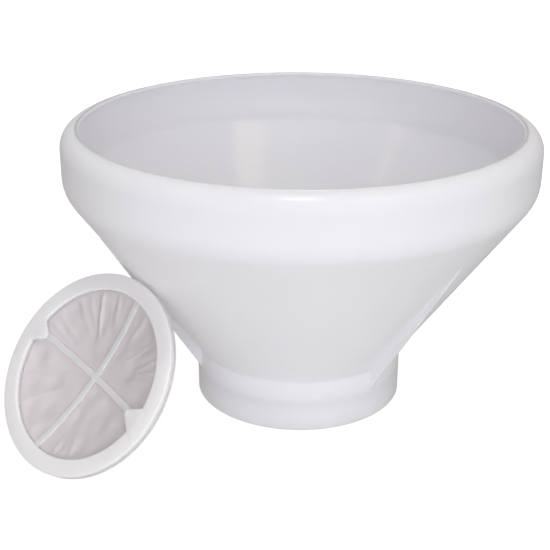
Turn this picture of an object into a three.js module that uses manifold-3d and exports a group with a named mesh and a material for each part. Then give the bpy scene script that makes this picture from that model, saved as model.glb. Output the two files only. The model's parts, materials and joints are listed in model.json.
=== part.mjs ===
// Double sieve strainer for honey: a wide plastic funnel whose outlet collar carries two round sieves.
// The fine sieve sits on the ledge inside the collar. The coarse sieve is lifted out and leans outside.
// Millimetres, +Z up. The origin is on the funnel's axis, in the plane that the collar stands on.
// An azimuth of 0 is the front, -Y, and it grows towards +X.

import * as THREE from 'three';
import { mergeVertices } from 'three/addons/utils/BufferGeometryUtils.js';
import Module from 'manifold-3d';

const wasm = await Module();
wasm.setup();

// Funnel
const rimRadius = 150; // outside of the upright rim band
const funnelHeight = 183.5;
const bandBottom = 148.5; // height where the band's and the cone's sides would meet
const bandBlend = 21; // outside radius that joins the band to the cone
const lipRadius = 11; // outside radius of the lip, which turns inwards
const lipReach = 12; // from the rim's outside to the lip's free edge
const wall = 2.5;
const collarRadius = 68;
const collarHeight = 34;
const boreRadius = 64.3; // inside the collar, which is thicker than the cone
const footRound = 0.8;

// Ledge inside the collar
const ledgeTop = 16;
const ledgeEdge = 3; // height of its inner edge
const ledgeRoot = 9; // height where its sloping underside meets the collar
const ledgeRadius = 56;

// Fins outside the cone
const finAzimuths = [45, 167.5, -70];
const finTop = 119.5;
const finTopDepth = 1.1; // how far the fin stands out of the cone at its top
const finBottom = 20; // where its straight outer edge runs into the collar
const finThickness = 2.2;

// Sieves, in a frame with its origin at the middle of the clamp ring's top face
const sieveRadius = 63;
const sieveOpening = 52.6; // inside radius of both rings
const clampHeight = 3.8;
const frameHeight = 1.2;
const gap = 0.3; // running gap between pieces
const clothRadius = 58.6;
const clothHeight = 0.5;
const dishRadius = 52;
const dishDepth = 8.4;
const ribWidth = 4.2;
const upperRibHeight = 0.9; // the clamp ring's cross, on top of the cloth
const lowerRibHeight = 2; // the frame's cross, under the cloth
const lugWidth = 17.4; // at the ring, from where a lug narrows to its tip
const lugTipWidth = 1.8;
const lugTipRadius = 42.8;
const lugHeight = 1.4;
const sieveHeight = clampHeight + gap + frameHeight;

// Where the coarse sieve leans: its lower edge stands on the table, its back rests on the cone
const leanAzimuth = -53.7;
const leanDistance = 158.5;
const leanHeading = -37.9; // azimuth that its top face looks to
const leanTilt = 52; // of its face from level
const leanSpin = -14.6; // turn of the lugs in its own plane

const funnelFacets = 64;
const sieveFacets = 48;

const funnelPlastic = new THREE.MeshStandardMaterial({
  color: 0xe3e3ea, roughness: 0.38, metalness: 0,
});
const sievePlastic = new THREE.MeshStandardMaterial({
  color: 0xececea, roughness: 0.42, metalness: 0,
});
const nylonCloth = new THREE.MeshStandardMaterial({
  color: 0xcdc8ca, roughness: 0.75, metalness: 0,
});

const toRadians = THREE.MathUtils.degToRad;

// The points of a closed outline. Each corner is [x, y] or [x, y, radius of the arc that rounds it].
function outline(corners, steps = 4) {
  const points = [];
  corners.forEach(([x, y, radius = 0], index) => {
    const corner = new THREE.Vector2(x, y);
    if (radius === 0) {
      points.push(corner);
      return;
    }
    const last = corners[(index + corners.length - 1) % corners.length];
    const next = corners[(index + 1) % corners.length];
    const towardsLast = new THREE.Vector2(last[0] - x, last[1] - y).normalize();
    const towardsNext = new THREE.Vector2(next[0] - x, next[1] - y).normalize();
    const half = Math.acos(towardsLast.dot(towardsNext)) / 2;
    const inward = towardsLast.clone().add(towardsNext).normalize();
    const centre = corner.clone().addScaledVector(inward, radius / Math.sin(half));
    const start = corner.clone().addScaledVector(towardsLast, radius / Math.tan(half)).sub(centre);
    const end = corner.clone().addScaledVector(towardsNext, radius / Math.tan(half)).sub(centre);
    const turn = Math.atan2(start.cross(end), start.dot(end));
    for (let step = 0; step <= steps; step += 1) {
      const spoke = start.clone().rotateAround(new THREE.Vector2(), (turn * step) / steps);
      points.push(centre.clone().add(spoke));
    }
  });
  return points;
}

// A solid from a closed geometry, whichever way round its triangles run.
function solid(source) {
  const bare = source.clone();
  bare.deleteAttribute('normal');
  bare.deleteAttribute('uv');
  const merged = mergeVertices(bare, 1e-4);
  const corners = merged.attributes.position.array;
  const faces = Array.from(merged.index.array);
  const point = (index) => new THREE.Vector3().fromArray(corners, 3 * index);
  let volume = 0;
  for (let face = 0; face < faces.length; face += 3) {
    const [a, b, c] = faces.slice(face, face + 3).map(point);
    volume += a.dot(b.cross(c));
  }
  const triVerts = new Uint32Array(volume < 0 ? faces.reverse() : faces);
  const vertProperties = new Float32Array(corners);
  return new wasm.Manifold(new wasm.Mesh({ numProp: 3, vertProperties, triVerts }));
}

function named(name, body, material) {
  const { vertProperties, triVerts } = body.getMesh();
  const geometry = new THREE.BufferGeometry();
  geometry.setAttribute('position', new THREE.BufferAttribute(vertProperties, 3));
  geometry.setIndex(new THREE.BufferAttribute(triVerts, 1));
  geometry.computeVertexNormals();
  const mesh = new THREE.Mesh(geometry, material);
  mesh.name = name;
  return mesh;
}

// A ring or dish turned about Z. The outline's x is the radius and its y the height.
// An outline that closes on itself repeats its first point; one that starts on the axis ends on it.
function turned(points, facets) {
  const onAxis = points[0].x === 0;
  const profile = onAxis ? points : [...points, points[0].clone()];
  return solid(new THREE.LatheGeometry(profile, facets).rotateX(Math.PI / 2));
}

// A plate whose outline stands in the plane of `azimuth` and the axis, centred on that plane.
function uprightPlate(points, thickness, azimuth) {
  const plate = new THREE.ExtrudeGeometry(new THREE.Shape(points), {
    depth: thickness, bevelEnabled: false,
  });
  plate.translate(0, 0, -thickness / 2);
  plate.rotateX(Math.PI / 2);
  plate.rotateZ(toRadians(azimuth - 90));
  return solid(plate);
}

// Radius of the cone's outside at a height. Its inside runs `wall` away, square to the surface.
const coneSlope = (rimRadius - collarRadius) / (bandBottom - collarHeight);
const wallAcross = wall * Math.hypot(1, coneSlope);
const coneRadius = (height) => collarRadius + coneSlope * (height - collarHeight);
const coneInsideHeight = (radius) => collarHeight + (radius + wallAcross - collarRadius) / coneSlope;

function funnelBody() {
  const lipEdge = rimRadius - lipReach;
  const bandInside = rimRadius - wall;
  const lipRound = 0.45 * wall;
  const shell = turned(outline([
    [boreRadius, 0, 0.5],
    [collarRadius, 0, footRound],
    [collarRadius, collarHeight, 3],
    [rimRadius, bandBottom, bandBlend],
    [rimRadius, funnelHeight, lipRadius],
    [lipEdge, funnelHeight, lipRound],
    [lipEdge, funnelHeight - wall, lipRound],
    [bandInside, funnelHeight - wall, lipRadius - wall],
    [bandInside, coneInsideHeight(bandInside), bandBlend - wall],
    [boreRadius, coneInsideHeight(boreRadius), 2],
    [boreRadius, ledgeTop],
    [ledgeRadius, ledgeTop, 0.6],
    [ledgeRadius, ledgeTop - ledgeEdge, 0.6],
    [boreRadius, ledgeRoot],
  ], 2), funnelFacets);
  const inWall = wall / 2;
  const finOutline = [
    [collarRadius - inWall, finBottom],
    [coneRadius(finTop) + finTopDepth, finTop],
    [coneRadius(finTop) - inWall, finTop],
    [collarRadius - inWall, collarHeight],
  ].map(([radius, height]) => new THREE.Vector2(radius, height));
  const fins = finAzimuths.map((azimuth) => uprightPlate(finOutline, finThickness, azimuth));
  return fins.reduce((body, fin) => body.add(fin), shell);
}

// Depth of the dished cloth and ribs below their rims, at a radius.
const dishAt = (radius) => dishDepth * Math.max(0, 1 - (radius / dishRadius) ** 2);
const dishSteps = [0, 12, 23, 33, 42, dishRadius];

// Two crossed ribs that follow the dish. They are `height` deep, and at the rim their top is at `top`.
function dishedCross(top, height) {
  const half = dishSteps.map((radius) => [radius, top - dishAt(radius)]);
  half.push([sieveOpening + 1.5, top]);
  const across = [...half.slice(1).reverse().map(([x, y]) => [-x, y]), ...half];
  const upper = across.map(([x, y]) => new THREE.Vector2(x, y));
  const lower = across.map(([x, y]) => new THREE.Vector2(x, y - height)).reverse();
  lower[0].y = top - Math.min(height, frameHeight);
  lower[lower.length - 1].y = lower[0].y;
  return [90, 0].map((azimuth) => uprightPlate([...upper, ...lower], ribWidth, azimuth));
}

// A level plate that narrows from the ring to its tip, on the side that `side` gives.
function lug(side) {
  const rootRadius = sieveOpening + 1.5;
  const corners = [
    [lugTipRadius, -lugTipWidth / 2],
    [rootRadius, -lugWidth / 2],
    [rootRadius, lugWidth / 2],
    [lugTipRadius, lugTipWidth / 2],
  ].map(([x, y]) => new THREE.Vector2(side * x, y));
  const plate = new THREE.ExtrudeGeometry(new THREE.Shape(corners), {
    depth: lugHeight, bevelEnabled: false,
  });
  return solid(plate.translate(0, 0, -lugHeight));
}

function clampRing() {
  const roof = -clampHeight + clothHeight + gap; // top of the recess that takes the cloth's edge
  const recess = clothRadius + gap;
  const ring = turned(outline([
    [sieveOpening, roof],
    [recess, roof],
    [recess, -clampHeight],
    [sieveRadius, -clampHeight],
    [sieveRadius, 0, 0.7],
    [sieveOpening, 0, 0.4],
  ], 2), sieveFacets);
  const cross = dishedCross(roof + upperRibHeight, upperRibHeight);
  return [...cross, lug(-1), lug(1)].reduce((body, part) => body.add(part), ring);
}

function cloth() {
  const under = dishSteps.map((radius) => new THREE.Vector2(radius, -clampHeight - dishAt(radius)));
  const over = under.map(({ x, y }) => new THREE.Vector2(x, y + clothHeight)).reverse();
  const edge = [
    new THREE.Vector2(clothRadius, -clampHeight),
    new THREE.Vector2(clothRadius, -clampHeight + clothHeight),
  ];
  return turned([...under, ...edge, ...over], sieveFacets);
}

function crossFrame() {
  const top = -clampHeight - gap;
  const ring = turned(outline([
    [sieveOpening, -sieveHeight],
    [sieveRadius, -sieveHeight, 0.5],
    [sieveRadius, top],
    [sieveOpening, top],
  ], 2), sieveFacets);
  return dishedCross(top, lowerRibHeight).reduce((body, rib) => body.add(rib), ring);
}

function sieve(name) {
  const group = new THREE.Group();
  group.add(
    named(`${name}_clamp_ring`, clampRing(), sievePlastic),
    named(`${name}_cloth`, cloth(), nylonCloth),
    named(`${name}_cross_frame`, crossFrame(), sievePlastic),
  );
  return group;
}

const strainer = new THREE.Group();
strainer.add(named('funnel', funnelBody(), funnelPlastic));

const fineSieve = sieve('fine');
fineSieve.position.z = ledgeTop + gap + sieveHeight;
strainer.add(fineSieve);

const coarseSieve = sieve('coarse');
coarseSieve.rotation.z = toRadians(leanSpin);
const lean = new THREE.Group();
const tilt = toRadians(leanTilt);
lean.position.set(
  leanDistance * Math.sin(toRadians(leanAzimuth)),
  -leanDistance * Math.cos(toRadians(leanAzimuth)),
  sieveRadius * Math.sin(tilt) + sieveHeight * Math.cos(tilt),
);
lean.rotation.set(tilt, 0, toRadians(leanHeading), 'ZYX');
lean.add(coarseSieve);
strainer.add(lean);

export default strainer;
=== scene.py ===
import json
import math
import random

import bmesh
import bpy
from bpy.props import FloatProperty, FloatVectorProperty, IntProperty, PointerProperty
from mathutils import Matrix, Vector


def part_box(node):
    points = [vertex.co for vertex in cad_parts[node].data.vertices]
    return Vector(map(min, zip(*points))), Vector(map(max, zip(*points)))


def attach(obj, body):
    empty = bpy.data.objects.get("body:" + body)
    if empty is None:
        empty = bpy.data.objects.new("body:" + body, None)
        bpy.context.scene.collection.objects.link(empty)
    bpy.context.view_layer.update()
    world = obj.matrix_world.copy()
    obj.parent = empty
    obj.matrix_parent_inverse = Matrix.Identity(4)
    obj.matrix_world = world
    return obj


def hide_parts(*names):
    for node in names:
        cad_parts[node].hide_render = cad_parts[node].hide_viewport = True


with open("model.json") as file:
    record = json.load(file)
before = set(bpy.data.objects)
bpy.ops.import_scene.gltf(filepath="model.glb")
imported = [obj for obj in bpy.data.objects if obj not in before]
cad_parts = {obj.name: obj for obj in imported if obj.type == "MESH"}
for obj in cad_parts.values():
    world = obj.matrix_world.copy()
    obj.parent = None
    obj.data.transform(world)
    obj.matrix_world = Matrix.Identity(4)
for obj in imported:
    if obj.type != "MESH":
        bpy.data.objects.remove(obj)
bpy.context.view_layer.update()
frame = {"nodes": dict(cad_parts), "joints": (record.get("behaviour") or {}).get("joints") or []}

bl_info = {
    "name": "Double Sieve Strainer",
    "version": (1, 0, 0),
    "blender": (4, 5, 0),
    "location": "3D View > Sidebar > Strainer",
    "description": "Makes a moulded strainer funnel and its two lift-out sieves",
    "category": "Add Mesh",
}

MM = 0.001
SIEVES = ("coarse", "fine")


def linear(colour):
    """An sRGB hex colour as linear red, green and blue."""
    parts = [int(colour[i : i + 2], 16) / 255 for i in (0, 2, 4)]
    return [c / 12.92 if c <= 0.04045 else ((c + 0.055) / 1.055) ** 2.4 for c in parts]


def size_of(node):
    """The width, depth and height of a CAD node."""
    low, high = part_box(node)
    return high - low


def length(name, description, default, **more):
    return FloatProperty(
        name=name, description=description, default=default, min=0.0, unit="LENGTH", **more
    )


def colour(name, description, default):
    return FloatVectorProperty(
        name=name, description=description, default=linear(default), size=3,
        min=0.0, max=1.0, subtype="COLOR",
    )


class StrainerFunnel(bpy.types.PropertyGroup):
    """Sizes and colour of the moulded funnel."""

    rim_radius: length("Rim Radius", "Outside of the upright band", size_of("funnel").x / 2)
    height: length("Height", "Foot of the collar to the top of the lip", size_of("funnel").z)
    band_bottom: length("Band Bottom", "Height where band and cone would meet", 148.5 * MM)
    band_blend: length("Band Blend", "Outside radius that joins band and cone", 21 * MM)
    lip_radius: length("Lip Radius", "Outside radius of the turned-in lip", 11 * MM)
    lip_reach: length("Lip Reach", "Rim's outside to the lip's free edge", 12 * MM)
    wall: length("Wall", "Thickness of the band and cone", 2.5 * MM)
    collar_radius: length("Collar Radius", "Outside of the outlet collar", 68 * MM)
    collar_height: length("Collar Height", "Foot to the start of the cone", 34 * MM)
    bore_radius: length("Bore Radius", "Inside of the outlet collar", 64.3 * MM)
    ledge_radius: length("Ledge Radius", "Inside of the ledge that carries a sieve", 56 * MM)
    ledge_top: length("Ledge Top", "Height of the ledge's seat", 16 * MM)
    fin_top: length("Fin Top", "Height where a fin begins", 119.5 * MM)
    fin_bottom: length("Fin Bottom", "Height where a fin's edge runs into the collar", 20 * MM)
    fin_thickness: length("Fin Thickness", "Thickness of a fin", 2.2 * MM)
    plastic: colour("Plastic", "Natural polyethylene", "EEEEF4")


class StrainerSieve(bpy.types.PropertyGroup):
    """Sizes and colours of the two sieves."""

    radius: length("Radius", "Outside of both rings", size_of("fine_clamp_ring").x / 2)
    opening: length("Opening", "Inside radius of both rings", 52.6 * MM)
    clamp_height: length("Clamp Height", "Thickness of the upper ring", 3.8 * MM)
    frame_height: length("Frame Height", "Thickness of the lower ring", 1.2 * MM)
    gap: length("Gap", "Groove between the two rings", 0.3 * MM)
    edge: length("Edge", "Rounding of the rings' upper edges", 1 * MM)
    lug_half: length("Lug Half Width", "Half of a lift lug's width where it leaves the ring", 8 * MM)
    lug_tip: length("Lug Tip", "Radius that a lug's tip reaches in to", 42.8 * MM)
    lug_height: length("Lug Height", "Thickness of a lift lug", 1.4 * MM)
    rib_width: length("Rib Width", "Width of a cross rib", 4.2 * MM)
    upper_rib: length("Upper Rib", "Depth of the ribs above the cloth", 1.4 * MM)
    lower_rib: length("Lower Rib", "Depth of the ribs below the cloth", 2.4 * MM)
    rib_top: length("Rib Top", "Ribs' tops below the sieve's face at the rim", 2.1 * MM)
    dish_radius: length("Dish Radius", "Radius at which the cloth starts to dip", 52 * MM)
    dish_depth: length("Dish Depth", "Dip of the cloth at its middle", 8.4 * MM)
    cloth_radius: length("Cloth Radius", "Radius of the fitted cloth", 58.4 * MM)
    cloth_thickness: length("Cloth Thickness", "Thickness of the woven cloth", 0.25 * MM)
    coarse_pitch: length("Coarse Pitch", "Thread spacing of the coarse cloth", 0.6 * MM)
    fine_pitch: length("Fine Pitch", "Thread spacing of the fine cloth", 0.4 * MM)
    gathers: IntProperty(name="Gathers", description="Folds round a cloth's edge", default=30)
    plastic: colour("Plastic", "White polypropylene", "F5F3F3")
    nylon: colour("Nylon", "Nylon monofilament", "E8E1E3")


class StrainerStage(bpy.types.PropertyGroup):
    """The camera, the lights and the floor."""

    distance: length("Distance", "Camera to the funnel's axis, level", 0.6888)
    eye_height: length("Eye Height", "Camera above the floor", 0.3633)
    pitch: FloatProperty(
        name="Pitch", description="Camera's look down", default=math.radians(22.47),
        subtype="ANGLE",
    )
    yaw: FloatProperty(
        name="Yaw", description="Camera's turn to the right", default=math.radians(-1.334),
        subtype="ANGLE",
    )
    roll: FloatProperty(
        name="Roll", description="Camera's roll", default=math.radians(0.169),
        subtype="ANGLE",
    )
    lens: FloatProperty(
        name="Lens", description="Focal length on a 36 mm sensor", default=73.57,
        unit="CAMERA",
    )
    ambient: FloatProperty(name="Ambient", description="Strength of the room light", default=0.44)
    key: FloatProperty(
        name="Key", description="Power that each light takes a share of", default=13.4,
        unit="POWER",
    )
    glow: FloatProperty(
        name="Glow", description="Light that comes up through the floor", default=0.75,
    )
    floor: colour("Floor", "Pale floor", "BBBBBB")
    floor_radius: length("Floor Radius", "Level part of the floor", 4.0)
    cove_radius: length("Cove Radius", "Bend from the floor up to the wall", 2.0)


def add(tree, kind, links=(), **settings):
    """A node of that kind. links are (input, socket or value) pairs; settings are its properties."""
    node = tree.nodes.new(kind)
    for name, value in settings.items():
        setattr(node, name, value)
    for name, value in links:
        if isinstance(value, bpy.types.NodeSocket):
            tree.links.new(value, node.inputs[name])
        else:
            node.inputs[name].default_value = value
    return node


def material(name, **shader):
    """A material with one Principled shader; shader's keys are its sockets, with _ for a space."""
    made = bpy.data.materials.new(name)
    made.use_nodes = True
    made.node_tree.nodes.clear()
    tree = made.node_tree
    base = add(tree, "ShaderNodeBsdfPrincipled", [(k.replace("_", " "), v) for k, v in shader.items()])
    add(tree, "ShaderNodeOutputMaterial", [("Surface", base.outputs[0])])
    return made, tree, base


# Sizes of the patterns on the moulded plastics: patches of gloss, slow swells in the wall and the tool's
# grain, which is drawn coarser than real so that it shows. Swells count this many times the grain.
PATCH = 71.43 * MM
SWELL = 18.18 * MM
GRAIN = 1.1111 * MM
SWELL_SHARE = 6.0
RELIEF = 0.08 * MM
# How far roughness and tint stray from one patch to the next. The tint's are red, green and blue.
GLOSS_SPREAD = 0.06
PALE = 1.03
DEEP = (0.96, 0.95, 0.965)


def moulded(name, tint, roughness, glow, depth, skin):
    """Injection-moulded translucent plastic with a satin skin.

    Light soaks a few millimetres into it, so edges and thin walls glow a little. The skin has a faint
    grain from the tool, slow patches of gloss where the melt cooled at different speeds, and a very
    slight change of tint from one patch to the next.
    """
    made, tree, base = material(
        name, IOR=1.52, Roughness=roughness, Specular_IOR_Level=0.35, Subsurface_Weight=glow,
        Subsurface_Scale=depth, Coat_Weight=skin, Coat_Roughness=0.07,
    )
    base.inputs["Subsurface Radius"].default_value = (1.0, 1.0, 1.0)
    place = add(tree, "ShaderNodeTexCoord").outputs["Object"]
    patches = add(tree, "ShaderNodeTexNoise", [("Vector", place), ("Scale", 1 / PATCH), ("Detail", 3.0)])
    pale = [*[min(1.0, c * PALE) for c in tint], 1.0]
    deep = [*[c * share for c, share in zip(tint, DEEP)], 1.0]
    shade = add(tree, "ShaderNodeMix", [
        (0, patches.outputs["Fac"]), (6, deep), (7, pale),
    ], data_type="RGBA")
    tree.links.new(shade.outputs[2], base.inputs["Base Color"])
    gloss = add(tree, "ShaderNodeMapRange", [
        ("Value", patches.outputs["Fac"]),
        ("To Min", roughness - GLOSS_SPREAD), ("To Max", roughness + GLOSS_SPREAD),
    ])
    tree.links.new(gloss.outputs[0], base.inputs["Roughness"])
    grain = add(tree, "ShaderNodeTexNoise", [("Vector", place), ("Scale", 1 / GRAIN), ("Detail", 2.0)])
    swell = add(tree, "ShaderNodeTexNoise", [("Vector", place), ("Scale", 1 / SWELL), ("Detail", 1.0)])
    height = add(tree, "ShaderNodeMath", [
        (0, swell.outputs["Fac"]), (1, SWELL_SHARE), (2, grain.outputs["Fac"]),
    ], operation="MULTIPLY_ADD")
    bump = add(tree, "ShaderNodeBump", [
        ("Height", height.outputs[0]), ("Strength", 0.25), ("Distance", RELIEF),
    ])
    tree.links.new(bump.outputs[0], base.inputs["Normal"])
    return made


# Half of a thread's width and the dip where it passes under, as shares of the spacing and of its height.
HALF_THREAD = 0.31
THREAD_DIP = 0.4
# Painted shade: a thread's colour deep down, where it dips under another, as a share of its colour on top.
THREAD_PAINTED_SHADE = 0.82
# How much of a hole between the threads still looks filled, from threads too fine to draw.
HOLE_COVER = 0.25


def woven(name, tint, pitch, cut):
    """Plain-woven nylon monofilament: round clear-white threads over and under, with square holes.

    The eye sees a soft grey-white veil with a fine square grid. Each thread is painted darker where it dips
    under another, as painted shade in place of the shade the weave casts.
    The threads are drawn coarser than a real sieve cloth's, so that they show. The UV map runs once across
    the cut cloth, so cut / pitch threads cross it each way.
    """
    made, tree, base = material(name, IOR=1.53, Roughness=0.45, Specular_IOR_Level=0.3)
    across = add(tree, "ShaderNodeMapping", [
        ("Vector", add(tree, "ShaderNodeUVMap", uv_map="grain").outputs[0]),
        ("Scale", (cut / pitch, cut / pitch, 1.0)),
    ])
    axes = add(tree, "ShaderNodeSeparateXYZ", [(0, across.outputs[0])])

    def maths(operation, *values):
        node = add(tree, "ShaderNodeMath", list(enumerate(values)), operation=operation)
        return node.outputs[0]

    threads = []
    waves = []
    for axis in ("X", "Y"):
        away = maths("PINGPONG", axes.outputs[axis], 0.5)
        share = maths("DIVIDE", away, HALF_THREAD)
        threads.append(maths("SUBTRACT", 1.0, maths("MULTIPLY", share, share)))
        waves.append(maths("COSINE", maths("MULTIPLY", axes.outputs[axis], math.pi)))
    over = maths("MULTIPLY", waves[0], waves[1])
    level = 1 - THREAD_DIP
    warp_lift = maths("MULTIPLY_ADD", over, THREAD_DIP, level)
    weft_lift = maths("MULTIPLY_ADD", over, -THREAD_DIP, level)
    warp = maths("MULTIPLY", maths("MAXIMUM", threads[0], 0.0), warp_lift)
    weft = maths("MULTIPLY", maths("MAXIMUM", threads[1], 0.0), weft_lift)
    height = maths("MAXIMUM", warp, weft)
    cover = maths("GREATER_THAN", height, 0.0)
    solid = maths("MULTIPLY_ADD", cover, 1 - HOLE_COVER, HOLE_COVER)
    tree.links.new(solid, base.inputs["Alpha"])
    bump = add(tree, "ShaderNodeBump", [
        ("Height", height), ("Strength", 0.5), ("Distance", pitch * 0.3),
    ])
    tree.links.new(bump.outputs[0], base.inputs["Normal"])
    # Painted shade: the base colour runs from a darker colour where a thread dips deep to the full tint on
    # top.
    shade = add(tree, "ShaderNodeMix", [
        (0, height), (6, [*[c * THREAD_PAINTED_SHADE for c in tint], 1.0]), (7, [*tint, 1.0]),
    ], data_type="RGBA")
    tree.links.new(shade.outputs[2], base.inputs["Base Color"])
    return made


def outline(corners, steps=8):
    """The points of a closed outline whose corners are (x, y) or (x, y, radius of a rounding arc)."""
    points = []
    for index, (x, y, *rest) in enumerate(corners):
        corner = Vector((x, y))
        if not rest:
            points.append(corner)
            continue
        radius = rest[0]
        last = (Vector(corners[index - 1][:2]) - corner).normalized()
        following = (Vector(corners[(index + 1) % len(corners)][:2]) - corner).normalized()
        half = last.angle(following) / 2
        centre = corner + (last + following).normalized() * radius / math.sin(half)
        start = corner + last * radius / math.tan(half) - centre
        end = corner + following * radius / math.tan(half) - centre
        turn = math.atan2(start.x * end.y - start.y * end.x, start.dot(end))
        for step in range(steps + 1):
            points.append(centre + Matrix.Rotation(turn * step / steps, 2) @ start)
    return points


def divided(points, most):
    """A closed outline again, with no side longer than most."""
    fine = []
    for index, point in enumerate(points):
        following = points[(index + 1) % len(points)]
        parts = max(1, math.ceil((following - point).length / most))
        fine += [point.lerp(following, part / parts) for part in range(parts)]
    return fine


def piece(name, mesh, finish, body, slot, *stands_for):
    """A finished piece: its mesh made an object that rides on a body and replaces its CAD nodes."""
    mesh.name = name
    made = bpy.data.objects.new(name, mesh)
    bpy.context.scene.collection.objects.link(made)
    mesh.materials.clear()
    mesh.materials.append(finish)
    mesh.shade_smooth()
    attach(made, body)
    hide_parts(*stands_for)
    return made


def closed_rows(rows):
    """A mesh from rows of points, closed both ways, with its faces outwards."""
    shape = bmesh.new()
    verts = [[shape.verts.new(point) for point in row] for row in rows]
    for i, row in enumerate(verts):
        below = verts[i - 1]
        for j in range(len(row)):
            shape.faces.new((below[j - 1], below[j], row[j], row[j - 1]))
    bmesh.ops.recalc_face_normals(shape, faces=shape.faces)
    if shape.calc_volume(signed=True) < 0:
        bmesh.ops.reverse_faces(shape, faces=shape.faces)
    mesh = bpy.data.meshes.new("closed_rows")
    shape.to_mesh(mesh)
    shape.free()
    return mesh


def smooth(low, high, value):
    """0 up to low, 1 from high on, and a smooth step between them."""
    share = min(1.0, max(0.0, (value - low) / (high - low)))
    return share * share * (3 - 2 * share)


# Plain columns round the funnel, and the angle each side of a fin that they keep clear of.
COLUMNS = 180
FIN_CLEAR = math.radians(4)
FIN_AZIMUTHS = [math.radians(degrees) for degrees in (45, 167.5, -70)]
# A fin's section: distance from its middle in half thicknesses, and share of its full depth there.
FIN_SECTION = [
    (0.0, 1.0), (0.45, 1.0), (0.75, 0.985), (0.92, 0.93), (1.0, 0.8), (1.06, 0.3), (1.14, 0.09),
    (1.35, 0.025), (1.8, 0.0), (3.0, 0.0),
]


def funnel_columns():
    """The azimuths of the funnel's columns: (azimuth, sideways offset in half thicknesses, depth share)."""
    columns = []
    for step in range(COLUMNS):
        azimuth = -math.pi + 2 * math.pi * step / COLUMNS
        if all(abs(math.remainder(azimuth - fin, 2 * math.pi)) > FIN_CLEAR for fin in FIN_AZIMUTHS):
            columns.append((azimuth, 0.0, 0.0))
    for fin in FIN_AZIMUTHS:
        for offset, share in FIN_SECTION:
            columns.append((fin, offset, share))
            if offset > 0:
                columns.append((fin, -offset, share))
    return sorted(columns, key=lambda column: (math.remainder(column[0], 2 * math.pi), column[1]))


def funnel_section(s, slope):
    """The wall as a closed outline: up the outside, over the lip, down the inside and round the ledge."""
    across = s.wall * math.hypot(1, slope)
    inner_band = s.rim_radius - s.wall
    lip_edge = s.rim_radius - s.lip_reach
    lip_round = 0.45 * s.wall
    ledge_under = s.ledge_top - 3 * MM
    ledge_foot = s.ledge_top - 7 * MM
    longest_side = 3 * MM

    def inside_height(radius):
        return s.collar_height + (radius + across - s.collar_radius) / slope

    return divided(outline([
        (s.bore_radius, 0, 0.5 * MM),
        (s.collar_radius, 0, 0.8 * MM),
        (s.collar_radius, s.collar_height, 3 * MM),
        (s.rim_radius, s.band_bottom, s.band_blend),
        (s.rim_radius, s.height, s.lip_radius),
        (lip_edge, s.height, lip_round),
        (lip_edge, s.height - s.wall, lip_round),
        (inner_band, s.height - s.wall, s.lip_radius - s.wall),
        (inner_band, inside_height(inner_band), 14 * MM),
        (s.bore_radius, inside_height(s.bore_radius), 2 * MM),
        (s.bore_radius, s.ledge_top, 0.4 * MM),
        (s.ledge_radius, s.ledge_top, 0.6 * MM),
        (s.ledge_radius, ledge_under, 0.6 * MM),
        (s.bore_radius, ledge_foot, 1 * MM),
    ]), longest_side)


def fin_depths(s, slope, section):
    """How far a fin stands out from the wall at each point of the section."""
    head_stand = 1.1 * MM
    head_fade = 1.2 * MM
    slack = 0.1 * MM
    fin_head = s.collar_radius + slope * (s.fin_top - s.collar_height) + head_stand
    fin_foot = s.collar_radius - s.wall / 2
    fin_slope = (fin_head - fin_foot) / (s.fin_top - s.fin_bottom)
    depths = []
    for index, point in enumerate(section):
        # Only the outside carries fins: the outside is climbed first, then the inside comes down.
        climbing = index < len(section) / 2 and point.x >= s.collar_radius - slack
        edge = fin_foot + fin_slope * (point.y - s.fin_bottom)
        fade = 1 - smooth(s.fin_top, s.fin_top + head_fade, point.y)
        depths.append(max(0.0, edge - point.x) * fade if climbing else 0.0)
    return depths


class StrainerFunnelMake(bpy.types.Operator):
    """Make the funnel: cone, upright band with its turned-in lip, collar, ledge and fins, as one wall."""

    bl_idname = "strainer.funnel"
    bl_label = "Funnel"

    def execute(self, context):
        s = context.scene.strainer_funnel
        slope = (s.rim_radius - s.collar_radius) / (s.band_bottom - s.collar_height)
        section = funnel_section(s, slope)
        columns = funnel_columns()
        rows = []
        for point, depth in zip(section, fin_depths(s, slope, section)):
            around = max(point.x, s.collar_radius)
            row = []
            for azimuth, offset, share in columns:
                turn = azimuth + offset * s.fin_thickness / 2 / around
                radius = point.x + depth * share
                row.append((radius * math.sin(turn), -radius * math.cos(turn), point.y))
            rows.append(row)
        finish = moulded(
            "Moulded natural polyethylene", s.plastic, roughness=0.36, glow=0.95, depth=9 * MM, skin=0.35,
        )
        piece("funnel_moulding", closed_rows(rows), finish, "funnel_body", "funnel_plastic", "funnel")
        return {"FINISHED"}


def seat(name):
    """A sieve's own frame: its origin is the middle of its face, x runs to a lug's tip, z is up."""
    joint = next(j for j in frame["joints"] if j["child"] == name)
    up = Vector(joint["axis"]).normalized()
    first = up.orthogonal().normalized()
    second = up.cross(first)
    ring = frame["nodes"][name.replace("_sieve", "_clamp_ring")]
    points = [vertex.co.copy() for vertex in ring.data.vertices]
    face = max(point.dot(up) for point in points)
    middle = up * face
    for axis in (first, second):
        reach = [point.dot(axis) for point in points]
        middle += axis * (min(reach) + max(reach)) / 2
    face_slack = 0.05 * MM
    tip_slack = 0.5 * MM
    level = [point - middle for point in points if point.dot(up) > face - face_slack]
    nearest = min(point.length for point in level) + tip_slack
    tips = [point for point in level if point.length < nearest]
    side = sum((tip for tip in tips if tip.dot(tips[0]) > 0), Vector())
    side = (side - up * side.dot(up)).normalized() * math.copysign(1, side.x)
    turn = Matrix((side, up.cross(side), up)).transposed()
    return Matrix.Translation(middle) @ turn.to_4x4()


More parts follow.
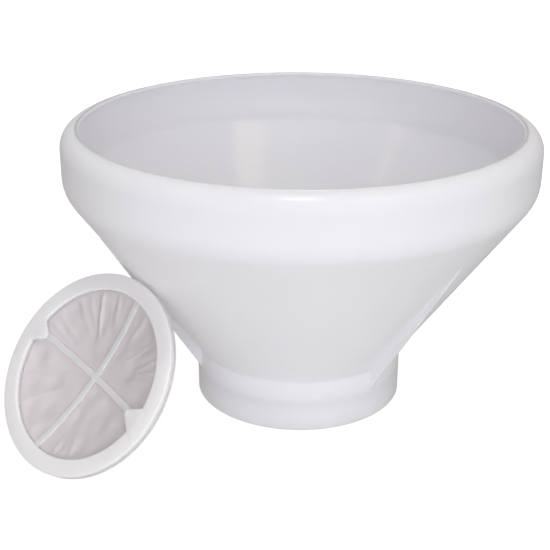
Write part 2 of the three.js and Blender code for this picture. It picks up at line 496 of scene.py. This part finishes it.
def united(first, second):
    """One closed mesh from two that overlap, with nothing left inside it."""
    shapes = []
    for mesh in (first, second):
        shape = bpy.data.objects.new("shape", mesh)
        bpy.context.scene.collection.objects.link(shape)
        shapes.append(shape)
    union = shapes[0].modifiers.new("Union", "BOOLEAN")
    union.operation = "UNION"
    union.solver = "EXACT"
    union.object = shapes[1]
    result = shapes[0].evaluated_get(bpy.context.evaluated_depsgraph_get())
    whole = bpy.data.meshes.new_from_object(result)
    for shape in shapes:
        bpy.data.objects.remove(shape)
    return whole


# The blunt end of a lug is twice this wide, and a clamp ring's face starts this far inside its opening.
LUG_TIP_HALF = 1.2 * MM
FACE_LIP = 0.12 * MM
# A hair of room, so that no two faces share a plane, and the room round the cloth's edge.
HAIR = 0.03 * MM
CLOTH_ROOM = 0.5 * MM
# Columns round a ring, in degrees, and the finer ones across a lug, which takes up this much each side.
RING_STEP = 1.5
LUG_STEP = 0.4
LUG_SPAN = 12
# A corner sharper than this stays crisp.
CRISP = math.radians(50)


def lug_edge(sieve, azimuth):
    """Inside radius of a clamp ring's face: the opening, or a pointed lug's straight side or tip."""
    folded = math.atan2(abs(math.sin(azimuth)), abs(math.cos(azimuth)))
    root = math.sqrt(sieve.opening**2 - sieve.lug_half**2)
    run = root - sieve.lug_tip
    rise = sieve.lug_half - LUG_TIP_HALF
    tip = sieve.lug_tip / math.cos(folded)
    side = sieve.opening
    if math.tan(folded) < rise / run:
        lean = math.cos(folded) * rise - math.sin(folded) * run
        side = (sieve.lug_tip * rise - LUG_TIP_HALF * run) / lean
    return min(sieve.opening - FACE_LIP, max(tip, side))


def lug_azimuths():
    """A clamp ring's azimuths in order: even steps, with finer ones across its two lugs."""
    half_turn = round(180 / RING_STEP)
    span = round(LUG_SPAN / RING_STEP)
    finer = round(LUG_SPAN / LUG_STEP)
    degrees = [
        k * RING_STEP for k in range(2 * half_turn)
        if min(k % half_turn, half_turn - k % half_turn) > span
    ]
    degrees += [side + k * LUG_STEP for side in (0, 180) for k in range(-finer, finer + 1)]
    return sorted(math.radians(degree) for degree in degrees)


def clamp_section(sieve, inner):
    """The clamp ring's section where its face starts at that radius."""
    corner = min(0.3 * MM, 0.4 * (sieve.opening - inner))
    roof = -sieve.rib_top - sieve.upper_rib + HAIR
    recess = sieve.cloth_radius + CLOTH_ROOM
    return outline([
        (inner, -sieve.lug_height, corner),
        (inner, 0, sieve.edge),
        (sieve.radius, 0, sieve.edge),
        (sieve.radius, -sieve.clamp_height, 0.25 * MM),
        (recess, -sieve.clamp_height),
        (recess, roof),
        (sieve.opening, roof),
        (sieve.opening, -sieve.lug_height, corner),
    ], 5)


def frame_section(sieve):
    """The lower ring's section."""
    top = -sieve.clamp_height - sieve.gap
    low = top - sieve.frame_height
    under_cloth = -sieve.rib_top - sieve.upper_rib - sieve.cloth_thickness - HAIR
    return outline([
        (sieve.opening, low, 0.3 * MM),
        (sieve.opening, under_cloth),
        (sieve.cloth_radius, under_cloth),
        (sieve.cloth_radius, top),
        (sieve.radius, top, 0.25 * MM),
        (sieve.radius, low, 0.5 * MM),
    ], 4)


def ringed(sections, azimuths):
    """A closed ring whose section is given for each azimuth."""
    return closed_rows([
        [(p.x * math.cos(azimuth), p.x * math.sin(azimuth), p.y) for p in section]
        for azimuth, section in zip(azimuths, sections)
    ])


def both_sieves(part, ring, cross, finish):
    """That moulding of each sieve: its ring and cross made one shape, in the sieve's own place."""
    for name in SIEVES:
        mesh = united(ring, cross)
        mesh.transform(seat(f"{name}_sieve"))
        made = piece(
            f"{name}_{part}_moulding", mesh, finish, f"{name}_sieve",
            "sieve_plastic", f"{name}_{part}",
        )
        made.data.set_sharp_from_angle(angle=CRISP)


class StrainerClampRings(bpy.types.Operator):
    """Make each sieve's clamp ring, with its two pointed lift lugs and the cross above the cloth."""

    bl_idname = "strainer.clamp_rings"
    bl_label = "Clamp Rings"

    def execute(self, context):
        s = context.scene.strainer_sieve
        finish = moulded(
            "Moulded white polypropylene", s.plastic, roughness=0.36, glow=0.8, depth=6 * MM, skin=0.12,
        )
        azimuths = lug_azimuths()
        ring = ringed([clamp_section(s, lug_edge(s, azimuth)) for azimuth in azimuths], azimuths)
        cross = dished_cross(s, finish, s.rib_top, s.upper_rib)
        both_sieves("clamp_ring", ring, cross, finish)
        return {"FINISHED"}


def cross_nodes():
    """Geometry nodes for a dished cross: a rounded rib swept along a parabola, turned about its middle."""
    tree = bpy.data.node_groups.new("Dished cross", "GeometryNodeTree")
    for name, kind in (
        ("Top", "NodeSocketFloat"), ("Reach", "NodeSocketFloat"), ("Dish Depth", "NodeSocketFloat"),
        ("Width", "NodeSocketFloat"), ("Height", "NodeSocketFloat"), ("Edge", "NodeSocketFloat"),
        ("Ribs", "NodeSocketInt"), ("Step", "NodeSocketFloat"), ("Material", "NodeSocketMaterial"),
    ):
        tree.interface.new_socket(name, in_out="INPUT", socket_type=kind)
    tree.interface.new_socket("Geometry", in_out="OUTPUT", socket_type="NodeSocketGeometry")
    size = add(tree, "NodeGroupInput").outputs

    def maths(operation, *values):
        return add(tree, "ShaderNodeMath", list(enumerate(values)), operation=operation).outputs[0]

    def point(x, y, z):
        return add(tree, "ShaderNodeCombineXYZ", [("X", x), ("Y", y), ("Z", z)]).outputs[0]

    # A quadratic curve is a parabola, and its middle handle hangs twice as deep as the parabola.
    back = maths("MULTIPLY", size["Reach"], -1.0)
    handle = maths("MULTIPLY", size["Dish Depth"], -2.0)
    bow = add(tree, "GeometryNodeCurveQuadraticBezier", [
        ("Resolution", 48), ("Start", point(back, 0.0, 0.0)), ("Middle", point(0.0, 0.0, handle)),
        ("End", point(size["Reach"], 0.0, 0.0)),
    ])
    level = add(tree, "GeometryNodeSetCurveNormal", [("Curve", bow.outputs[0])], mode="Z_UP")
    plain = add(tree, "GeometryNodeCurvePrimitiveQuadrilateral", [
        ("Width", size["Width"]), ("Height", size["Height"]),
    ])
    rounded = add(tree, "GeometryNodeFilletCurve", [
        ("Curve", plain.outputs[0]), ("Radius", size["Edge"]), ("Count", 4),
    ], mode="POLY")
    rib = add(tree, "GeometryNodeCurveToMesh", [
        ("Curve", level.outputs[0]), ("Profile Curve", rounded.outputs[0]), ("Fill Caps", True),
    ])
    middle = maths("MULTIPLY_ADD", size["Height"], -0.5, size["Top"])
    # Each rib lies a hair below the last, so that no two faces share a plane where they cross.
    step = maths("MULTIPLY", size["Step"], -1.0)
    places = add(tree, "GeometryNodeMeshLine", [
        ("Count", size["Ribs"]), ("Start Location", point(0.0, 0.0, middle)),
        ("Offset", point(0.0, 0.0, step)),
    ])
    turn = maths("DIVIDE", math.pi, size["Ribs"])
    turns = maths("MULTIPLY", add(tree, "GeometryNodeInputIndex").outputs[0], turn)
    ribs = add(tree, "GeometryNodeInstanceOnPoints", [
        ("Points", places.outputs[0]), ("Instance", rib.outputs[0]),
        ("Rotation", point(0.0, 0.0, turns)),
    ])
    crossed = add(tree, "GeometryNodeMeshBoolean", [
        ("Mesh 2", ribs.outputs[0]), ("Self Intersection", True),
    ], operation="UNION", solver="EXACT")
    real = add(tree, "GeometryNodeRealizeInstances", [("Geometry", crossed.outputs[0])])
    painted = add(tree, "GeometryNodeSetMaterial", [
        ("Geometry", real.outputs[0]), ("Material", size["Material"]),
    ])
    add(tree, "NodeGroupOutput", [("Geometry", painted.outputs[0])])
    return tree


def dished_cross(sieve, finish, top, height):
    """The mesh of a sieve's cross, in the sieve's own frame, with its tops at -top by the rim.

    The ribs run a little way into the rings, so that the two can be made one shape.
    """
    into_ring = 1.2 * MM
    tree = bpy.data.node_groups.get("Dished cross") or cross_nodes()
    blank = bpy.data.objects.new("blank", bpy.data.meshes.new("blank"))
    bpy.context.scene.collection.objects.link(blank)
    nodes = blank.modifiers.new("Cross", "NODES")
    nodes.node_group = tree
    values = {
        "Top": -top, "Reach": sieve.opening + into_ring, "Dish Depth": sieve.dish_depth,
        "Width": sieve.rib_width, "Height": height, "Edge": 0.35 * MM, "Ribs": 2,
        "Step": 0.02 * MM, "Material": finish,
    }
    for socket in tree.interface.items_tree:
        if socket.in_out == "INPUT":
            nodes[socket.identifier] = values[socket.name]
    result = blank.evaluated_get(bpy.context.evaluated_depsgraph_get())
    mesh = bpy.data.meshes.new_from_object(result)
    bpy.data.objects.remove(blank)
    if not mesh.polygons:
        raise RuntimeError("the cross's nodes made no faces")
    return mesh


class StrainerCrossFrames(bpy.types.Operator):
    """Make each sieve's lower ring, with the cross that carries the cloth."""

    bl_idname = "strainer.cross_frames"
    bl_label = "Cross Frames"

    def execute(self, context):
        s = context.scene.strainer_sieve
        finish = bpy.data.materials["Moulded white polypropylene"]
        sides = round(360 / RING_STEP)
        azimuths = [2 * math.pi * step / sides for step in range(sides)]
        ring = ringed([frame_section(s)] * len(azimuths), azimuths)
        cross = dished_cross(s, finish, s.rib_top + s.upper_rib + s.cloth_thickness, s.lower_rib)
        both_sieves("cross_frame", ring, cross, finish)
        return {"FINISHED"}


# Ranges for the cloth's own folds, in millimetres, shares of the dish's radius, or radians.
FOLD_START = (0.5, 0.88)
FOLD_HEIGHT = (0.1, 0.6)
FOLD_WIDTH = (1.0, 2.6)
FOLD_SLANT = (-0.12, 0.12)
# A fold grows from nothing over this stretch round its start, and is left out past this angle from it.
FOLD_RUN_IN = (9, 7)
FOLD_REACH = 0.6
# The slack waves that cross the whole cloth.
WAVES = 22
WAVE_LENGTH = (6, 24)
WAVE_HEIGHT = (0.04, 0.13)
# The cloth lies this much low on the whole, is held flat near its grip, and lies tight along the ribs.
SAG = 0.2
GRIP = 0.09
RIB_CLEAR = (2.3, 9)
# Larger folds: degrees round from a lug, start as a share of the dish, height, width, slant.
LONG_FOLDS = {
    "coarse": (
        (122, 0.55, 1.7, 1.2, 0.2), (108, 0.74, 0.8, 1.5, -0.1), (170, 0.6, 0.7, 1.8, 0.1),
        (32, 0.72, 0.9, 1.6, 0.1), (41, 0.66, 1.0, 1.3, -0.1), (-75, 0.86, 0.8, 1.1, 0.0),
        (-68, 0.88, 0.7, 1.0, 0.0), (-61, 0.86, 0.8, 1.2, 0.05),
    ),
    "fine": ((215, 0.55, 1.2, 1.5, 0.1), (62, 0.7, 0.8, 1.3, -0.1), (300, 0.8, 0.7, 1.2, 0.0)),
}


class Gathers:
    """The folds and waves of one clamped cloth, in millimetres, the same ones for the same seed."""

    def __init__(self, sieve, seed, tall):
        draw = random.Random(seed)
        self.edge = sieve.dish_radius / MM
        self.folds = [
            (
                draw.uniform(0, 2 * math.pi), draw.uniform(*FOLD_START) * self.edge,
                draw.uniform(*FOLD_HEIGHT), draw.uniform(*FOLD_WIDTH), draw.uniform(*FOLD_SLANT),
            )
            for _ in range(sieve.gathers)
        ]
        self.folds += [
            (math.radians(towards), start * self.edge, height, width, slant)
            for towards, start, height, width, slant in tall
        ]
        self.waves = [
            (
                draw.uniform(0, 2 * math.pi), 2 * math.pi / draw.uniform(*WAVE_LENGTH),
                draw.uniform(0, 2 * math.pi), draw.uniform(*WAVE_HEIGHT),
            )
            for _ in range(WAVES)
        ]

    def rise(self, x, y):
        """How far the cloth stands off the plain dish at a place."""
        radius = math.hypot(x, y)
        azimuth = math.atan2(y, x)
        held = smooth(0, GRIP, 1 - radius / self.edge)
        before, after = FOLD_RUN_IN
        fold = 0.0
        for towards, start, height, width, slant in self.folds:
            off = math.remainder(azimuth - towards - slant * (1 - radius / self.edge), 2 * math.pi)
            if abs(off) < FOLD_REACH:
                across = radius * off / width
                grown = smooth(start - before, start + after, radius)
                fold += height * math.exp(-across * across) * grown
        wave = sum(
            height * math.sin(pace * (x * math.cos(way) + y * math.sin(way)) + start)
            for way, pace, start, height in self.waves
        )
        free = smooth(*RIB_CLEAR, min(abs(x), abs(y)))
        return (fold + wave - SAG) * free * held


def cloth_mesh(name, sieve, gathers, cut):
    """A cloth's sheet in rings of points, with a UV map that lays it flat as it was cut."""
    place = seat(f"{name}_sieve")
    rest = -sieve.rib_top - sieve.upper_rib - sieve.cloth_thickness / 2
    shape = bmesh.new()
    grain = shape.loops.layers.uv.new("grain")
    flat = {}

    def vert(x, y):
        radius = math.hypot(x, y)
        dip = sieve.dish_depth * max(0.0, 1 - (radius / sieve.dish_radius) ** 2)
        rise = gathers.rise(x / MM, y / MM) * MM if radius < sieve.dish_radius else 0.0
        made = shape.verts.new(place @ Vector((x, y, rest - dip + rise)))
        flat[made] = (x / cut + 0.5, y / cut + 0.5)
        return made

    columns = 300
    rings = 64
    middle = vert(0, 0)
    last = None
    for ring in range(1, rings + 1):
        radius = sieve.cloth_radius * ring / rings
        turns = [2 * math.pi * k / columns for k in range(columns)]
        row = [vert(radius * math.cos(turn), radius * math.sin(turn)) for turn in turns]
        for k in range(columns):
            if last is None:
                shape.faces.new((middle, row[k - 1], row[k]))
            else:
                shape.faces.new((last[k - 1], row[k - 1], row[k], last[k]))
        last = row
    for face in shape.faces:
        for loop in face.loops:
            loop[grain].uv = flat[loop.vert]
    mesh = bpy.data.meshes.new(name)
    shape.to_mesh(mesh)
    shape.free()
    return mesh


class StrainerCloths(bpy.types.Operator):
    """Make each sieve's nylon cloth: dished on the cross, gathered where the rings grip its edge."""

    bl_idname = "strainer.cloths"
    bl_label = "Sieve Cloths"

    def execute(self, context):
        s = context.scene.strainer_sieve
        pitches = {"coarse": s.coarse_pitch, "fine": s.fine_pitch}
        # The cloth was cut as a flat disc, and the dip takes up this much more of it than a flat fit.
        dip = 2 / 3 * s.dish_depth**2 / s.dish_radius
        cut = 2 * (s.cloth_radius + dip)
        first_seed = 11
        for seed, name in enumerate(SIEVES, first_seed):
            mesh = cloth_mesh(name, s, Gathers(s, seed, LONG_FOLDS[name]), cut)
            finish = woven(f"Woven nylon, {name}", s.nylon, pitches[name], cut)
            made = piece(
                f"{name}_cloth_weave", mesh, finish, f"{name}_sieve", f"{name}_cloth",
                f"{name}_cloth",
            )
            thick = made.modifiers.new("Thickness", "SOLIDIFY")
            thick.thickness = s.cloth_thickness
            thick.offset = 0
        return {"FINISHED"}


def cove(flat, bend):
    """A round level floor whose edge bends up into a wall, so that no edge shows from any side."""
    shape = bmesh.new()
    sides = 96
    steps = 12
    wall_top = 3 * bend
    quarter = [math.pi / 2 * step / steps for step in range(steps + 1)]
    rings = [(flat * share, 0.0) for share in (0.05, 0.3, 0.6)]
    rings += [(flat + bend * math.sin(turn), bend * (1 - math.cos(turn))) for turn in quarter]
    rings.append((flat + bend, wall_top))
    middle = shape.verts.new((0, 0, 0))
    last = None
    for radius, height in rings:
        row = []
        for side in range(sides):
            turn = 2 * math.pi * side / sides
            row.append(shape.verts.new((radius * math.cos(turn), radius * math.sin(turn), height)))
        for side in range(sides):
            inner = (last[side - 1], last[side]) if last else (middle,)
            shape.faces.new((row[side - 1], row[side], *reversed(inner)))
        last = row
    bmesh.ops.recalc_face_normals(shape, faces=shape.faces)
    if sum(face.normal.z for face in shape.faces) < 0:
        bmesh.ops.reverse_faces(shape, faces=shape.faces)
    mesh = bpy.data.meshes.new("cove")
    shape.to_mesh(mesh)
    shape.free()
    mesh.shade_smooth()
    return mesh


# name, degrees right of the front, degrees above level, distance, roll, size, share of the key's power, tint
LIGHTS = (
    ("key_softbox", 7, 20, 1.6, 0, (1.0, 0.7), 0.6, "EEF3FF"),
    ("low_fill", 4, 1, 1.3, 0, (0.9, 0.16), 0.31, "FFFFFF"),
    ("left_fill", -88, 2, 1.6, 0, (0.8, 0.2), 0.012, "FFA070"),
    ("back_fill", 180, 50, 1.8, 0, (1.2, 0.8), 0.6, "FFFFFF"),
    ("top_light", 2, 75, 1.6, 0, (0.3, 0.5), 0.25, "FAFCFF"),
    ("right_panel", 42.8, 56.4, 1.54, 28, (0.26, 0.46), 0.1, "FFF0D2"),
    ("left_panel", -72.2, 52.0, 1.54, -37, (0.42, 0.11), 0.028, "FFF6E4"),
)
LIT_POINT = Vector((0, 0, 0.1))
# A light this wide or wider is left out of the gloss.
BROAD = 0.5
# The room light's colour, slightly warm.
ROOM = (1, 0.975, 0.955, 1)


def place_camera(scene, s):
    """The scene's camera, on the funnel's front side and looking down at it."""
    camera = bpy.data.objects.new("camera", bpy.data.cameras.new("camera"))
    camera.data.lens = s.lens
    camera.data.sensor_width = 36
    camera.data.clip_start = 0.01
    aim = (
        Matrix.Rotation(-s.yaw, 4, "Z")
        @ Matrix.Rotation(math.pi / 2 - s.pitch, 4, "X")
        @ Matrix.Rotation(s.roll, 4, "Z")
    )
    camera.matrix_world = Matrix.Translation((0, -s.distance, s.eye_height)) @ aim
    scene.collection.objects.link(camera)
    scene.camera = camera


def place_light(scene, key, name, towards, above, away, roll, size, power, tint):
    """One soft light, aimed at the lit point."""
    light = bpy.data.lights.new(name, "AREA")
    light.shape = "RECTANGLE"
    light.size, light.size_y = size
    light.energy = key * power
    light.color = linear(tint)
    lamp = bpy.data.objects.new(name, light)
    level = away * math.cos(math.radians(above))
    place = LIT_POINT + Vector((
        level * math.sin(math.radians(towards)), -level * math.cos(math.radians(towards)),
        away * math.sin(math.radians(above)),
    ))
    turn = (LIT_POINT - place).to_track_quat("-Z", "Y").to_matrix().to_4x4()
    tilt = Matrix.Rotation(math.radians(roll), 4, "Z")
    lamp.matrix_world = Matrix.Translation(place) @ turn @ tilt
    lamp.visible_glossy = size[0] < BROAD
    scene.collection.objects.link(lamp)


def light_room(scene, s):
    """Even, slightly warm light from all round."""
    world = bpy.data.worlds.new("room")
    world.use_nodes = True
    world.node_tree.nodes["Background"].inputs["Color"].default_value = ROOM
    world.node_tree.nodes["Background"].inputs["Strength"].default_value = s.ambient
    scene.world = world


def lay_floor(scene, s):
    """The pale floor and wall."""
    floor = bpy.data.objects.new("floor", cove(s.floor_radius, s.cove_radius))
    scene.collection.objects.link(floor)
    # Opal sheet scatters light evenly, so the eye sees plain white with only a soft shadow on it.
    paint = material(
        "Opal acrylic, lit from below", Base_Color=[*s.floor, 1.0], Roughness=0.9,
        Specular_IOR_Level=0.1, Emission_Color=(1, 1, 1, 1), Emission_Strength=s.glow,
    )[0]
    floor.data.materials.append(paint)
    # The floor neither lights nor reflects in the object, which a real floor would.
    floor.visible_diffuse = False
    floor.visible_glossy = False


class StrainerStageMake(bpy.types.Operator):
    """Make the camera, the soft studio light and the pale floor."""

    bl_idname = "strainer.stage"
    bl_label = "Stage"

    def execute(self, context):
        s = context.scene.strainer_stage
        scene = context.scene
        scene.view_settings.view_transform = "Standard"
        place_camera(scene, s)
        for light in LIGHTS:
            place_light(scene, s.key, *light)
        light_room(scene, s)
        lay_floor(scene, s)
        return {"FINISHED"}


class StrainerPanel(bpy.types.Panel):
    """Lists the strainer's pieces and their sizes."""

    bl_idname = "STRAINER_PT_pieces"
    bl_label = "Double Sieve Strainer"
    bl_space_type = "VIEW_3D"
    bl_region_type = "UI"
    bl_category = "Strainer"

    def draw(self, context):
        for maker in MAKERS:
            self.layout.operator(maker.bl_idname)
        for group in GROUPS:
            box = self.layout.box()
            for name in group.__annotations__:
                box.prop(getattr(context.scene, GROUPS[group]), name)


GROUPS = {
    StrainerFunnel: "strainer_funnel",
    StrainerSieve: "strainer_sieve",
    StrainerStage: "strainer_stage",
}
MAKERS = (
    StrainerStageMake, StrainerFunnelMake, StrainerClampRings, StrainerCrossFrames, StrainerCloths,
)


def register():
    for made in (*GROUPS, *MAKERS, StrainerPanel):
        bpy.utils.register_class(made)
    for group, name in GROUPS.items():
        setattr(bpy.types.Scene, name, PointerProperty(type=group))


def unregister():
    for name in GROUPS.values():
        delattr(bpy.types.Scene, name)
    for made in (StrainerPanel, *reversed(MAKERS), *reversed(GROUPS)):
        bpy.utils.unregister_class(made)


def main():
    """Make the stage and every piece."""
    register()
    bpy.ops.strainer.stage()
    bpy.ops.strainer.funnel()
    bpy.ops.strainer.clamp_rings()
    bpy.ops.strainer.cross_frames()
    bpy.ops.strainer.cloths()


if __name__ == "__main__":
    main()
